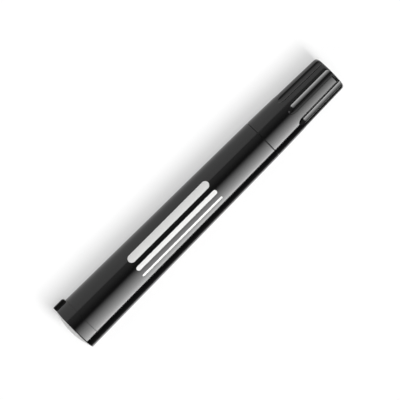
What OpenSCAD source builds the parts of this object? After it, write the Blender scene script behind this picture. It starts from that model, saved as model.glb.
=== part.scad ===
// Permanent marker with a fluted pull-off cap, lying at rest on its tail.
// Sizes are in millimetres. Each piece is drawn upright with the tail at the bottom,
// on the marker's own axis, and is then laid down along +X.

/* [Nib] */
// Diameter of the fibre nib
nib_d = 4.4; // [3:0.1:6]
// Length of the nib that stands out of the nose
nib_out = 5.4; // [3:0.1:9]
// Straight stretch of the nib between the nose and its cone
nib_straight = 0.9; // [0.2:0.1:2]
// Radius of the nib's round point
nib_point_r = 1; // [0.4:0.1:1.4]
// Length of the nib that is pushed into the reservoir
nib_dip = 9; // [5:0.5:20]

/* [Front section] */
// Wall around the nib at the end of the nose
nose_wall = 0.67; // [0.5:0.01:1.5]
// Length of the tapered nose
nose_len = 8; // [4:0.5:14]
// Growth of the nose's radius from its end to its root
nose_flare = 1.5; // [0.5:0.1:3]
// Step from the root of the nose up to the seal land
seal_step = 0.3; // [0.2:0.05:1]
// Length of the round land that the inner cap seals on
seal_len = 2.6; // [1.5:0.1:5]
// Thickness of the flange that seats on the end of the neck
flange_t = 1.2; // [0.8:0.1:2]
// Overhang of the flange beyond the bore of the neck
flange_lip = 0.65; // [0.4:0.05:1]
// Step from the seal land out to the bore of the neck
spigot_step = 0.83; // [0.3:0.01:2]
// Length of the spigot inside the neck
spigot_len = 6; // [3:0.5:8]
// Wall of the hollow spigot
spigot_wall = 1.2; // [0.8:0.1:2]
// Number of air grooves along the nib's bore
vent_count = 3; // [2:1:6]
// Width of an air groove
vent_w = 0.9; // [0.4:0.1:1.5]
// Depth of an air groove below the nib's bore
vent_depth = 0.3; // [0.2:0.05:0.45]

/* [Inner cap] */
// Wall of the inner cap around the seal land
inner_wall = 0.95; // [0.6:0.05:2]
// Thickness of the inner cap's end wall
inner_end = 1; // [0.6:0.1:2]
// Thickness of the flange at the inner cap's mouth
inner_flange_t = 0.8; // [0.5:0.1:2]
// Free length in front of the nib's point
tip_room = 5.5; // [1:0.5:10]

/* [Cap] */
// Wall of the cap around the neck
cap_wall = 1.25; // [0.8:0.05:2.5]
// Wall of the cap between the inner cap and the floor of a flute
core_wall = 0.75; // [0.5:0.05:2]
// Thickness of the cap's crown
crown_t = 2; // [1:0.1:4]
// Fillet around the crown
crown_fillet = 1.5; // [0.3:0.1:2.5]
// Reach of the ring that traps the inner cap
trap_lip = 0.3; // [0.15:0.05:0.6]
// Number of flutes around the cap
flute_count = 8; // [3:1:10]
// Radius of a flute's hollow section
flute_r = 2.2; // [1:0.1:3]
// Depth of a flute below the cap's surface
flute_depth = 0.8; // [0.3:0.05:1.2]
// Extra radius of the bend in which a flute runs out
flute_ease = 0.6; // [0.2:0.1:3]
// Plain stretch between the inner cap's flange and the tips of the flutes
flute_lead = 2.1; // [1:0.1:6]

/* [Barrel] */
// Length of the barrel from the tail plug to the cap
barrel_len = 90.5; // [60:0.5:140]
// Growth of the barrel's radius from the cap to the tail plug
barrel_flare = 1.2; // [0.4:0.1:3]
// Wall of the barrel
barrel_wall = 1.25; // [0.8:0.05:2]
// Thickness of the shoulder that stops the reservoir
shoulder_t = 2; // [1:0.1:4]
// Length of the neck inside the cap
neck_len = 8.5; // [7:0.5:14]
// Wall of the neck
neck_wall = 1.25; // [0.8:0.05:2]
// Height of the bead that holds the cap
bead_h = 0.12; // [0.05:0.01:0.3]
// Width of the bead at its foot
bead_w = 1; // [0.6:0.1:1.6]
// Distance from the seam to the bead
bead_at = 3; // [1.5:0.1:5]
// Number of ribs that centre the reservoir
rib_count = 6; // [3:1:12]
// Width of a rib
rib_w = 1; // [0.6:0.1:2]
// Least height of a rib, at the shoulder
rib_h = 0.18; // [0.1:0.01:1]

/* [Reservoir] */
// Thickness of the film around the reservoir
film_t = 0.2; // [0.1:0.05:0.5]
// Width of the ring on the tail plug that the reservoir bears on
bearing_w = 0.85; // [0.4:0.05:2]

/* [Tail plug] */
// Length of the tail plug outside the barrel
tail_len = 5.4; // [5.2:0.1:10]
// Length of the stem inside the barrel
stem_len = 8; // [4:0.5:15]
// Floor between the hollow stem and the end disc
plug_floor = 1.5; // [0.8:0.1:2]
// Rim around the end disc
rim_wall = 0.6; // [0.4:0.05:1.5]
// Length of the nub that stops the marker from rolling
nub_len = 4.9; // [3:0.1:5]
// Height of the nub above the tail's rim
nub_h = 1; // [0.6:0.1:2]
// Width of the nub
nub_w = 5.4; // [3:0.1:7]
// Chamfer along the nub's edges
nub_edge = 0.3; // [0.1:0.05:0.5]
// Length of the ramp at the front of the nub
nub_ramp = 0.7; // [0.4:0.1:1.5]

/* [End disc] */
// Height of the disc's dome above the rim
dome_h = 1.7; // [0.6:0.1:4]
// Depth of the disc's seat below the rim
disc_seat = 0.8; // [0.4:0.1:1.5]

/* [Fits and edges] */
// Radial clearance of a pressed piece
fit = 0.03; // [0.01:0.01:0.08]
// Clearance of a piece that turns or slides
run_gap = 0.05; // [0.03:0.01:0.1]
// Axial play of a trapped or stopped piece
play = 0.15; // [0.1:0.05:0.3]
// Gap of the seam between the barrel and the cap
seam_gap = 0.15; // [0.1:0.05:0.4]
// Chamfer on the outer edges
edge = 0.2; // [0.1:0.05:0.3]

/* [Hidden] */

$fn = 96;

// How far a cutting shape reaches past the face that it cuts
over = 1;

// Radii, from the nib outwards
nib_r = nib_d / 2;
nib_bore_r = nib_r + fit;
nose_end_r = nib_bore_r + nose_wall;
nose_root_r = nose_end_r + nose_flare;
seal_r = nose_root_r + seal_step;
neck_bore_r = seal_r + spigot_step;
spigot_r = neck_bore_r - fit;
flange_r = neck_bore_r + flange_lip;
neck_r = neck_bore_r + neck_wall;
bead_r = neck_r + bead_h;
cap_bore_r = bead_r + run_gap;
front_r = cap_bore_r + cap_wall;
rear_r = front_r + barrel_flare;

// Radii of the inner cap and of its place in the cap
seal_bore_r = seal_r + run_gap;
hollow_r = nose_root_r + 2 * run_gap;
inner_r = seal_bore_r + inner_wall;
trap_r = flange_r + 4 * run_gap;
inner_flange_r = trap_r + trap_lip;
pocket_r = inner_flange_r + run_gap;
socket_r = inner_r + run_gap;
crown_r = socket_r + core_wall + flute_depth;

// Heights along the axis, from the tail to the crown
z_rim = dome_h;
z_disc_seat = z_rim + disc_seat;
z_plug_floor = z_disc_seat + plug_floor;
z_tail = z_rim + tail_len;
z_stem = z_tail + stem_len;
z_seam = z_tail + barrel_len;
z_shoulder = z_seam - shoulder_t;
z_mouth = z_seam + seam_gap;
z_bead = z_seam + bead_at;
z_neck = z_seam + neck_len;
z_spigot = z_neck - spigot_len;
z_flange = z_neck + flange_t;
z_seal = z_flange + seal_len;
z_nose = z_seal + nose_len;
z_tip = z_nose + nib_out;
z_nib_tail = z_shoulder - nib_dip;

// Heights of the inner cap and of its place in the cap
z_lip = z_flange + 2 * play;
z_seal_end = z_seal + 2 * play;
z_trap = z_lip - play;
z_socket = z_lip + inner_flange_t + play;
z_hollow = z_tip + tip_room;
z_inner = z_hollow + inner_end;
z_cap_end = z_inner + play;
z_crown = z_cap_end + crown_t;

// Radius of the barrel's outside, and of the tail plug that carries its taper on
function barrel_radius(z) = front_r + barrel_flare * (z_seam - z) / barrel_len;

// Radius of the barrel's inside between the ribs
function bore_radius(z) = barrel_radius(z) - barrel_wall;

// Radius of the cap's outside between the flutes
cap_taper = (front_r - crown_r) / (z_crown - z_mouth);
cap_angle = atan(cap_taper);
function cap_radius(z) = front_r - cap_taper * (z - z_mouth);

// Reservoir
rib_r = bore_radius(z_shoulder) - rib_h;
wrap_r = rib_r - fit;
core_r = wrap_r - film_t - fit;

// Tail plug, nub and end disc
seat_r = rear_r - barrel_wall;
stem_r = seat_r - fit;
stem_bore_r = wrap_r - bearing_w;
rim_r = barrel_radius(z_rim + edge);
disc_r = rim_r - rim_wall;
dome_r = (disc_r * disc_r + dome_h * dome_h) / (2 * dome_h);
nub_top_r = rim_r + nub_h;
nub_flat = nub_w / 2 - nub_edge;
z_nub = z_rim + nub_len;

// Flutes: the bend's floor meets the cap's surface after the run-out
bend_r = flute_r + flute_ease;
bend_angle = 60;
floor_bend_r = bend_r + flute_r;
flute_run = sqrt(pow(floor_bend_r, 2) - pow(floor_bend_r - flute_depth, 2));
z_flute = z_socket + flute_lead + flute_run;
flute_axis_r = cap_radius(z_flute) + (flute_r - flute_depth) / cos(cap_angle);

// Cone of the nib, tangent to its round point
z_cone = z_nose + nib_straight;
z_point = z_tip - nib_point_r;
cone_reach = norm([nib_r, z_point - z_cone]);
cone_turn = acos(nib_point_r / cone_reach) - atan((z_point - z_cone) / nib_r);
cone_end = nib_point_r * [cos(cone_turn), sin(cone_turn)];

// At rest the marker has rolled until a corner of its nub meets the table beside the rim
roll = acos(rim_r / norm([nub_top_r, nub_flat])) + atan(nub_flat / nub_top_r);

// Lays an upright piece along +X, resting on the tail's rim and on the nub
module lay_down() {
    translate([-z_crown / 2, 0, rim_r])
        rotate([0, 90, 0])
            rotate([0, 0, roll])
                children();
}

// A straight round piece between two heights
module rod(r, from, to) {
    translate([0, 0, from])
        cylinder(r = r, h = to - from);
}

// Outline of a bead or of its groove on a wall of radius r, in order of height
function bead(r, height, width) = [
    [r, z_bead - width / 2],
    [r + height, z_bead - width / 6],
    [r + height, z_bead + width / 6],
    [r, z_bead + width / 2],
];

module barrel_outside() {
    rotate_extrude()
        polygon(concat(
            [
                [0, z_tail],
                [rear_r - edge, z_tail],
                [barrel_radius(z_tail + edge), z_tail + edge],
                [barrel_radius(z_seam - edge), z_seam - edge],
                [front_r - edge, z_seam],
                [neck_r, z_seam],
            ],
            bead(neck_r, bead_h, bead_w),
            [
                [neck_r, z_neck - edge],
                [neck_r - edge, z_neck],
                [0, z_neck],
            ]
        ));
}

// Tapered bore of the barrel, with the ribs left standing
module ribbed_bore() {
    difference() {
        translate([0, 0, z_stem - over])
            cylinder(r1 = bore_radius(z_stem - over), r2 = bore_radius(z_shoulder),
                     h = z_shoulder - z_stem + over);
        for (i = [0 : rib_count - 1])
            rotate([0, 0, i * 360 / rib_count])
                translate([0, -rib_w / 2, z_stem])
                    cube([rear_r, rib_w, barrel_len]);
    }
    rod(rib_r, z_stem - over, z_shoulder);
}

module barrel() {
    color([0.03, 0.03, 0.03])
        lay_down()
            difference() {
                barrel_outside();
                rod(seat_r, z_tail - over, z_stem);
                ribbed_bore();
                rod(neck_bore_r, z_shoulder - over, z_neck + over);
            }
}

module nub() {
    intersection() {
        translate([0, 0, z_rim])
            linear_extrude(nub_len)
                polygon([
                    [disc_r, -nub_w / 2],
                    [nub_top_r - nub_edge, -nub_w / 2],
                    [nub_top_r, -nub_flat],
                    [nub_top_r, nub_flat],
                    [nub_top_r - nub_edge, nub_w / 2],
                    [disc_r, nub_w / 2],
                ]);
        rotate([90, 0, 0])
            linear_extrude(nub_w + over, center = true)
                polygon([
                    [disc_r - over, z_rim],
                    [nub_top_r - nub_edge, z_rim],
                    [nub_top_r, z_rim + nub_edge],
                    [nub_top_r, z_nub - nub_ramp],
                    [nub_top_r - nub_h / 2, z_nub],
                    [disc_r - over, z_nub],
                ]);
    }
}

module tail_plug() {
    color([0.03, 0.03, 0.03])
        lay_down()
            difference() {
                union() {
                    rotate_extrude()
                        polygon([
                            [0, z_rim],
                            [rim_r - edge, z_rim],
                            [rim_r, z_rim + edge],
                            [barrel_radius(z_tail - edge), z_tail - edge],
                            [rear_r - edge, z_tail],
                            [stem_r, z_tail],
                            [stem_r, z_stem - edge],
                            [stem_r - edge, z_stem],
                            [0, z_stem],
                        ]);
                    nub();
                }
                rod(disc_r + fit, z_rim - over, z_disc_seat);
                rod(stem_bore_r, z_plug_floor, z_stem + over);
            }
}

module tail_disc() {
    color([0.8, 0.8, 0.78])
        lay_down()
            intersection() {
                translate([0, 0, dome_r])
                    sphere(r = dome_r);
                rod(disc_r, -over, z_disc_seat);
            }
}

module front_section() {
    color([0.05, 0.05, 0.05])
        lay_down()
            difference() {
                rotate_extrude()
                    polygon([
                        [0, z_spigot],
                        [spigot_r - edge, z_spigot],
                        [spigot_r, z_spigot + edge],
                        [spigot_r, z_neck],
                        [flange_r, z_neck],
                        [flange_r, z_flange - edge],
                        [flange_r - edge, z_flange],
                        [seal_r, z_flange],
                        [seal_r, z_seal - edge],
                        [nose_root_r, z_seal],
                        [nose_end_r, z_nose],
                        [0, z_nose],
                    ]);
                rod(nib_bore_r, z_spigot - over, z_nose + over);
                rod(spigot_r - spigot_wall, z_spigot - over, z_neck);
                for (i = [0 : vent_count - 1])
                    rotate([0, 0, i * 360 / vent_count])
                        translate([0, -vent_w / 2, z_spigot - over])
                            cube([nib_bore_r + vent_depth, vent_w, z_nose - z_spigot + 2 * over]);
            }
}

module nib() {
    color([0.08, 0.08, 0.09])
        lay_down() {
            rod(nib_r, z_nib_tail, z_cone);
            translate([0, 0, z_cone])
                cylinder(r1 = nib_r, r2 = cone_end[0], h = z_point + cone_end[1] - z_cone);
            translate([0, 0, z_point])
                sphere(r = nib_point_r);
        }
}

module reservoir_core() {
    color([0.12, 0.12, 0.14])
        lay_down()
            difference() {
                rod(core_r, z_stem, z_shoulder);
                rod(nib_bore_r, z_nib_tail - fit, z_shoulder + over);
            }
}

module reservoir_wrap() {
    color([0.75, 0.77, 0.8])
        lay_down()
            difference() {
                rod(wrap_r, z_stem, z_shoulder);
                rod(wrap_r - film_t, z_stem - over, z_shoulder + over);
            }
}

module inner_cap() {
    color([0.85, 0.86, 0.84])
        lay_down()
            difference() {
                rotate_extrude()
                    polygon([
                        [0, z_lip],
                        [inner_flange_r, z_lip],
                        [inner_flange_r, z_lip + inner_flange_t],
                        [inner_r, z_lip + inner_flange_t],
                        [inner_r, z_inner - edge],
                        [inner_r - edge, z_inner],
                        [0, z_inner],
                    ]);
                rod(seal_bore_r, z_lip - over, z_seal_end);
                rod(hollow_r, z_lip - over, z_hollow);
            }
}

// Outside of the cap before the flutes are cut: a cone whose crown is rounded by an arc
module cap_outside() {
    fillet_z = z_crown - crown_fillet;
    fillet_x = cap_radius(fillet_z) - crown_fillet / cos(cap_angle);
    rotate_extrude() {
        polygon([
            [0, z_mouth],
            [front_r - edge, z_mouth],
            [cap_radius(z_mouth + edge), z_mouth + edge],
            [fillet_x + crown_fillet * cos(cap_angle), fillet_z + crown_fillet * sin(cap_angle)],
            [fillet_x, z_crown],
            [0, z_crown],
        ]);
        translate([fillet_x, fillet_z])
            circle(r = crown_fillet);
    }
}

// Inside of the cap: neck bore, trap ring, flange pocket and socket for the inner cap
module cap_inside() {
    rotate_extrude()
        polygon(concat(
            [
                [0, z_seam - over],
                [cap_bore_r + edge, z_seam - over],
                [cap_bore_r + edge, z_mouth],
                [cap_bore_r, z_mouth + edge],
            ],
            bead(cap_bore_r, bead_h, bead_w + 2 * play),
            [
                [cap_bore_r, z_neck + play],
                [trap_r, z_neck + 3 * play],
                [trap_r, z_trap],
                [pocket_r, z_trap],
                [pocket_r, z_socket],
                [socket_r, z_socket],
                [socket_r, z_cap_end],
                [0, z_cap_end],
            ]
        ));
}

// One flute: a straight hollow along the cone, and a bend that lifts it out of the surface
module flute() {
    translate([flute_axis_r, 0, z_flute])
        rotate([0, -cap_angle, 0]) {
            rod(flute_r, 0, z_crown - z_flute + flute_r);
            translate([bend_r, 0, 0])
                rotate([90, 0, 0])
                    rotate([0, 0, 180])
                        rotate_extrude(angle = bend_angle)
                            translate([bend_r, 0])
                                circle(r = flute_r);
        }
}

module cap() {
    color([0.03, 0.03, 0.03])
        lay_down()
            difference() {
                cap_outside();
                cap_inside();
                for (i = [0 : flute_count - 1])
                    rotate([0, 0, i * 360 / flute_count])
                        flute();
            }
}

barrel();
tail_plug();
tail_disc();
front_section();
nib();
reservoir_core();
reservoir_wrap();
inner_cap();
cap();
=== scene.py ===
"""Looks of a thick permanent marker, dressed around its packed solid model.

The file is laid out as an add-on: the sizes and colours that a user would change are properties,
each piece has an operator, and a panel in the 3D view's sidebar lists them. Every length is in
metres, in the frame of the packed model: the marker lies along +X with its tail at the low end.
"""

import math

import bmesh
import bpy
from bpy.props import FloatProperty, FloatVectorProperty, IntProperty, PointerProperty
from mathutils import Matrix, Vector


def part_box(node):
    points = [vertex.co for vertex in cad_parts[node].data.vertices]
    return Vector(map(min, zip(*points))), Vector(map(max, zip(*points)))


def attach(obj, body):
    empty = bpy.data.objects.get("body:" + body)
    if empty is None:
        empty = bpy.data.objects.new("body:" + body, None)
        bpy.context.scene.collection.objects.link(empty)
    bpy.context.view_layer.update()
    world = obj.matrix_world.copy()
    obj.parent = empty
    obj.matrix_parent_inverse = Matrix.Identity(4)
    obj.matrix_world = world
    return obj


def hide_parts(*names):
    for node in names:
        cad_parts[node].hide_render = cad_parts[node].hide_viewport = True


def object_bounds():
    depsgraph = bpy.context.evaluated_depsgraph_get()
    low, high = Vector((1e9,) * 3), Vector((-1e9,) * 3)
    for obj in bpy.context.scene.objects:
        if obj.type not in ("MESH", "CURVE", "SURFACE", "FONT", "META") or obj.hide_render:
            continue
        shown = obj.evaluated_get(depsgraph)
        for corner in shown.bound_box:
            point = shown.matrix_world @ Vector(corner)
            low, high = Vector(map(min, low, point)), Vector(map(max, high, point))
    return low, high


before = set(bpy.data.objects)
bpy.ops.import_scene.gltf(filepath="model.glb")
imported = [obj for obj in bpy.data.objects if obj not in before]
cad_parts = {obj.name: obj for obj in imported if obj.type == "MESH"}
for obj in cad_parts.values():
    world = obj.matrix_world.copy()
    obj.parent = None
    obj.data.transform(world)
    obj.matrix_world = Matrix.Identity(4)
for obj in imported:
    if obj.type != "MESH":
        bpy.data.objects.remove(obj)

bl_info = {
    "name": "Permanent Marker",
    "version": (1, 0, 0),
    "blender": (4, 5, 0),
    "location": "View3D > Sidebar > Marker",
    "description": "Builds the looks of a thick permanent marker around its solid model",
    "category": "Add Mesh",
}

MM = 0.001
CAD_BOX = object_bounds()


# Fineness of the meshes

# Columns of a turned mesh, a multiple of 12 so that ribs and vents fall on columns
COLUMNS = 288
# Columns of the nib, which is thinner than the other pieces
NIB_COLUMNS = 144
# Columns of the cap: across one flute, and on the land to each side of it
FLUTE_COLUMNS = 32
LAND_COLUMNS = 14
# Least spread of the columns across a flute, as a share of the flute's full width
LEAST_SPREAD = 0.35
# Rows of the cap: along the full flutes, over their run-out and from there to the mouth
FLUTE_ROWS = 24
RUN_OUT_ROWS = 64
PLAIN_ROWS = 8
# Length that the run-out's rows cover, as a share of the run-out itself
RUN_OUT_COVER = 1.1
# Columns of the tail plug: in fine steps within this angle of the nub's middle, and on the rest
NUB_REACH = math.radians(22)
NUB_STEP = math.radians(0.25)
REST_COLUMNS = 256
# Rows along the tail plug's outer band
BAND_ROWS = 60
# Steps of the arcs over the end disc, the nib's point and the edge of the crown
DOME_STEPS = 32
POINT_STEPS = 12
FILLET_STEPS = 28
# Rings on the flat of the crown
CROWN_RINGS = 4
# Tries of the search for a flute's edge, and of the search for its floor
EDGE_TRIES = 24
FLOOR_TRIES = 6
# Arc that one step of a rounded corner covers, and the turn below which a corner stays as it is
CORNER_STEP = math.radians(12)
LEAST_TURN = math.radians(1)
# Edges that turn by more than this stay sharp
SHARP_ANGLE = math.radians(42)


# Places and radii, taken from the packed solids


def ends(node):
    """Lowest and highest place of a node along the marker."""
    return [corner.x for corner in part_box(node)]


def radii(node, x, reach=0.35 * MM):
    """Least and greatest distance from the axis of a node's vertices that lie within reach of x."""
    points = [vertex.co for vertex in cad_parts[node].data.vertices]
    distances = [math.hypot(p.y, p.z - AXIS_Z) for p in points if abs(p.x - x) < reach]
    return min(distances), max(distances)


def nub_direction(past_rim=1.05):
    """Unit vector from the axis to the nub's top, the vertices past that many rim radii."""
    points = [vertex.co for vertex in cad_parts["tail_plug"].data.vertices]
    offsets = [Vector((0.0, p.y, p.z - AXIS_Z)) for p in points]
    on_nub = [offset for offset in offsets if offset.length > past_rim * RIM_R]
    return sum(on_nub, Vector()).normalized()


AXIS_Z = sum(corner.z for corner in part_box("barrel")) / 2

X_TAIL_SEAM, X_NECK_END = ends("barrel")
X_APEX, X_DISC_BACK = ends("tail_disc")
X_RIM, X_STEM_END = ends("tail_plug")
X_SHOULDER = ends("reservoir_wrap")[1]
X_SPIGOT, X_NOSE = ends("front_section")
X_NIB_TAIL, X_TIP = ends("nib")
X_LIP, X_INNER_END = ends("inner_cap")
X_MOUTH, X_CROWN = ends("cap")

SEAT_R, REAR_R = radii("barrel", X_TAIL_SEAM)
NECK_BORE_R, NECK_R = radii("barrel", X_NECK_END)
RIM_R = min(radii("tail_plug", X_RIM)[1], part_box("tail_plug")[1].y)
STEM_BORE_R, STEM_R = radii("tail_plug", X_STEM_END)
DISC_R = radii("tail_disc", X_DISC_BACK)[1]
FILM_BORE_R, WRAP_R = radii("reservoir_wrap", X_SHOULDER)
CORE_R = radii("reservoir_core", X_SHOULDER)[1]
SPIGOT_BORE_R, SPIGOT_R = radii("front_section", X_SPIGOT)
NOSE_R = radii("front_section", X_NOSE)[1]
NIB_R = radii("nib", X_NIB_TAIL)[1]
SEAL_BORE_R, INNER_FLANGE_R = radii("inner_cap", X_LIP)
INNER_R = radii("inner_cap", X_INNER_END)[1]
MOUTH_R = radii("cap", X_MOUTH)[1]

# Directions: along the marker, out through the nub, and out through the side that shows
AXIS = Vector((1.0, 0.0, 0.0))
NUB = nub_direction()
FRONT = AXIS.cross(NUB)


# Properties


def length(name, description, default):
    """Property for a length in metres."""
    return FloatProperty(name=name, description=description, default=default, unit="LENGTH",
                         precision=5, min=0.0)


def colour(name, description, default):
    """Property for a linear colour."""
    return FloatVectorProperty(name=name, description=description, default=default, size=3,
                               subtype="COLOR", min=0.0, max=1.0)


def share(name, description, default):
    """Property for a share between 0 and 1."""
    return FloatProperty(name=name, description=description, default=default, subtype="FACTOR",
                         min=0.0, max=1.0)


def amount(name, description, default):
    """Property for a plain number that isn't negative."""
    return FloatProperty(name=name, description=description, default=default, min=0.0)


def count(name, description, default):
    """Property for a number of like features."""
    return IntProperty(name=name, description=description, default=default, min=1)


class MarkerBodySizes(bpy.types.PropertyGroup):
    """Sizes of the barrel, the tail plug and the end disc."""

    edge: length("Edge rounding", "Rounding of the outer edges", 0.2 * MM)
    seam_edge: length("Tail seam rounding", "Rounding of the edges at the tail plug's seam", 0.08 * MM)
    mouth_edge: length("Cap seam rounding", "Rounding of the edges at the cap's seam", 0.15 * MM)
    seam_depth: length("Seam depth", "Depth of the gap between the barrel and the cap", 0.4 * MM)
    seam_gap: length("Seam gap", "Gap between the barrel and the cap", 0.15 * MM)
    bead_at: length("Bead place", "Distance from the seam to the bead on the neck", 3.0 * MM)
    bead_width: length("Bead width", "Width of the bead at its foot", 1.0 * MM)
    bead_height: length("Bead height", "Height of the bead on the neck", 0.12 * MM)
    wall: length("Barrel wall", "Wall of the barrel", 1.25 * MM)
    rib_count: count("Ribs", "Ribs round the reservoir", 6)
    rib_width: length("Rib width", "Width of a rib", 1.0 * MM)
    fit: length("Fit", "Clearance of a pressed piece", 0.03 * MM)
    rim_edge: length("Rim rounding", "Rounding of the rim around the end disc", 0.36 * MM)
    plug_floor: length("Plug floor", "Floor between the hollow stem and the disc", 1.5 * MM)
    nub_length: length("Nub length", "Length of the nub along the marker", 4.9 * MM)
    nub_height: length("Nub height", "Height of the nub above the rim", 1.0 * MM)
    nub_width: length("Nub width", "Width of the nub round the tail", 5.4 * MM)
    nub_round: length("Nub rounding", "Rounding along the nub's sides", 0.5 * MM)
    nub_back: length("Nub back", "Rounding of the nub's top at its back", 0.3 * MM)
    nub_foot: length("Nub foot", "Width over which the nub's foot is rounded", 0.1 * MM)
    nub_ramp: length("Nub ramp", "Length of the ramp at the front of the nub", 0.7 * MM)
    ramp_loss: share("Ramp loss", "Share of the nub's height that the ramp loses", 0.5)
    front_loss: amount("Front loss", "Nub heights lost per ramp length on the front past it", 8.0)


class MarkerFrontSizes(bpy.types.PropertyGroup):
    """Sizes of the front section, the nib and the inner cap."""

    flange: length("Flange", "Thickness of the flange on the neck", 1.2 * MM)
    flange_lip: length("Flange lip", "Overhang of the flange beyond the neck's bore", 0.65 * MM)
    seal_length: length("Seal length", "Length of the land that the inner cap seals on", 2.6 * MM)
    seal_step: length("Seal step", "Step from the root of the nose up to the land", 0.3 * MM)
    nose_flare: length("Nose flare", "Growth of the nose's radius towards its root", 1.5 * MM)
    vent_count: count("Vents", "Air grooves along the nib", 3)
    vent_width: length("Vent width", "Width of an air groove", 0.9 * MM)
    vent_depth: length("Vent depth", "Depth of an air groove", 0.3 * MM)
    nib_straight: length("Nib straight", "Straight stretch of the nib past the nose", 0.9 * MM)
    nib_point: length("Nib point", "Radius of the nib's round point", 1.0 * MM)
    nib_shoulder: length("Nib shoulder", "Rounding where the nib's cone begins", 1.2 * MM)
    run_gap: length("Running gap", "Clearance of a piece that turns or slides", 0.05 * MM)
    play: length("Play", "Axial play of a trapped piece", 0.15 * MM)
    inner_flange: length("Liner flange", "Thickness of the inner cap's flange", 0.8 * MM)
    inner_end: length("Liner end", "Thickness of the inner cap's end wall", 1.0 * MM)


class MarkerCapSizes(bpy.types.PropertyGroup):
    """Sizes of the cap and its flutes."""

    crown_radius: length("Crown radius", "Radius that the cap's cone reaches at the crown", 7.3 * MM)
    crown_fillet: length("Crown fillet", "Rounding around the crown", 1.5 * MM)
    crown: length("Crown", "Thickness of the crown", 2.0 * MM)
    flute_count: count("Flutes", "Flutes around the cap", 8)
    flute_radius: length("Flute radius", "Radius of a flute's hollow section", 2.2 * MM)
    flute_depth: length("Flute depth", "Depth of a flute below the cap's surface", 0.8 * MM)
    flute_bend: length("Flute bend", "Radius of the bend in which a flute runs out", 2.8 * MM)
    flute_length: length("Flute length", "Full depth of a flute, measured from the crown", 18.587 * MM)
    flute_soft: length("Flute softness", "Width over which a flute's edge is rounded", 0.08 * MM)
    trap_lip: length("Trap lip", "Reach of the ring that traps the inner cap", 0.3 * MM)


class MarkerPrint(bpy.types.PropertyGroup):
    """Three plain strokes printed on the barrel, from broad to fine."""

    middle: FloatProperty(name="Middle", description="Place of the strokes' middle along the marker",
                          default=-13.2 * MM, unit="LENGTH", precision=5)
    stroke_length: length("Length", "Length of a stroke", 40.0 * MM)
    broad: length("Broad", "Width of the broadest stroke", 3.2 * MM)
    medium: length("Medium", "Width of the middle stroke", 1.7 * MM)
    fine: length("Fine", "Width of the finest stroke", 0.8 * MM)
    gap: length("Gap", "Gap between two strokes", 1.9 * MM)
    ragged: length("Raggedness", "Reach of the ink's uneven edge", 0.06 * MM)


class MarkerFinish(bpy.types.PropertyGroup):
    """Colours and gloss of the marker's materials."""

    black: colour("Gloss black", "Plastic of the barrel, cap and tail plug", (0.0013, 0.0013, 0.0014))
    gloss: share("Gloss roughness", "Roughness of the glossy black plastic", 0.11)
    satin: colour("Satin black", "Plastic of the front section", (0.011, 0.011, 0.012))
    pale: colour("Pale grey", "Plastic of the end disc", (0.72, 0.72, 0.71))
    ink: colour("Ink", "Fibres soaked with ink", (0.008, 0.008, 0.011))
    film: colour("Film", "Film around the reservoir", (0.62, 0.64, 0.66))
    milky: colour("Milky", "Natural plastic of the inner cap", (0.74, 0.74, 0.69))
    white_ink: colour("White ink", "Ink of the printed strokes", (0.86, 0.86, 0.85))


class MarkerStage(bpy.types.PropertyGroup):
    """Camera, lamps, walls and floor."""

    distance: length("Camera distance", "Distance from the camera to the marker's axis", 1.08)
    view_width: length("View width", "Width of the view at the marker", 143.62 * MM)
    aim_along: length("Aim along", "Aim of the camera past the marker's middle", 0.3 * MM)
    aim_across: length("Aim across", "Aim of the camera off the axis, towards the nub", 0.6 * MM)
    lamp_height: length("Lamp height", "Height of the overhead lamp above the axis", 1.6)
    lamp_shift: length("Lamp shift", "Shift of the overhead lamp towards the crown", 0.085)
    lamp_length: length("Lamp length", "Length of the overhead lamp along the marker", 0.57)
    lamp_front: length("Lamp front", "Reach of the overhead lamp to the front, where it is dark", 1.55)
    lamp_back: length("Lamp back", "Reach of the overhead lamp to the back, where it is bright", 1.3)
    lamp_rise: amount("Lamp rise", "Power of the overhead lamp's rise to the back", 1.4)
    lamp_glow: amount("Lamp glow", "Power of the overhead lamp per square metre", 37.7)
    fill_size: length("Fill size", "Side of the fill lamp in front", 0.9)
    fill_distance: length("Fill distance", "Distance of the fill lamp from the axis", 1.6)
    fill_glow: amount("Fill glow", "Power of the fill lamp per square metre", 11.0)
    end_size: length("End size", "Side of the lamp past each end", 0.4)
    end_along: length("End along", "Distance of the end lamps from the middle, along the marker", 0.8)
    end_front: length("End front", "Distance of the end lamps in front of the axis", 0.1)
    end_height: length("End height", "Height of the end lamps above the floor", 0.35)
    end_aim: length("End aim", "Distance from the middle of the points that the end lamps face", 0.05)
    end_glow: amount("End glow", "Power of the end lamps per square metre", 4.0)
    floor_half: length("Floor half", "Half of the floor's side", 3.0)
    floor_colour: colour("Floor", "Colour of the floor", (0.45, 0.45, 0.45))
    floor_glow: share("Floor glow", "Light that the floor adds where it is seen", 0.5)
    # The floor's colour and glow carry a painted pool of light: full in the middle, painted darker
    # towards the far floor
    painted_pool_radius: length("Floor pool", "Radius of the white middle of the floor", 0.18)
    painted_pool_fade: length("Floor fade", "Radius at which the floor has faded to grey", 0.6)
    painted_far_shade: share("Far floor", "Brightness of the far floor, as a share of its middle", 0.4)


# Meshes


def around(x, radius, angle):
    """Point at an angle about the axis, counted from the nub towards the side that shows."""
    across = NUB * math.cos(angle) + FRONT * math.sin(angle)
    return Vector((x, 0.0, AXIS_Z)) + across * radius


def angles(columns):
    """Angles of evenly spaced columns."""
    return [2 * math.pi * column / columns for column in range(columns)]


def spaced(start, end, steps):
    """Values in even steps from start, which is left out, to end."""
    return [start + (end - start) * step / steps for step in range(1, steps + 1)]


def ring(x, radius, columns):
    """Row of points round the axis; radius is a number, 0 for a pole, or a function of the angle."""
    if callable(radius):
        return [around(x, radius(angle), angle) for angle in columns]
    if radius == 0:
        return [around(x, 0.0, 0.0)]
    return [around(x, radius, angle) for angle in columns]


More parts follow.
